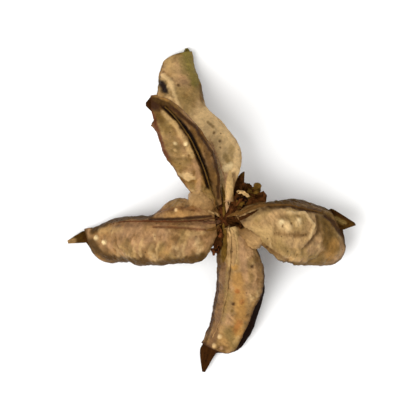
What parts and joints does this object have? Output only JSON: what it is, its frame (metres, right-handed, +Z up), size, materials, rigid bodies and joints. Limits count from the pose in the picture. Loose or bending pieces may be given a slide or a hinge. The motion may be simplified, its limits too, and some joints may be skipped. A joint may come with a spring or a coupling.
{
  "type": "dried cotton boll",
  "caption": "Dried, open, empty cotton boll: woody valves with pale papery linings spread like a star from a calyx and stem stub.",
  "frame": {"origin": "centre of the bounding box's bottom face, on the surface the boll lies on", "axes": "+Z up, out of the open side of the boll; +Y towards the tip of the valve named north; +X towards the broad valve named east"},
  "size_m": [0.0714, 0.0812, 0.027],
  "materials": {
    "husk": "matte",
    "lining": "satin",
    "stem": "matte",
    "calyx": "matte"
  },
  "bodies": {
    "root": {"husk_north": "husk", "husk_north_west": "husk", "husk_west": "husk", "husk_south": "husk", "husk_east": "husk", "lining_north": "lining", "lining_north_west": "lining", "lining_west": "lining", "lining_south": "lining", "lining_east": "lining", "stem": "stem", "calyx": "calyx"}
  },
  "joints": []
}
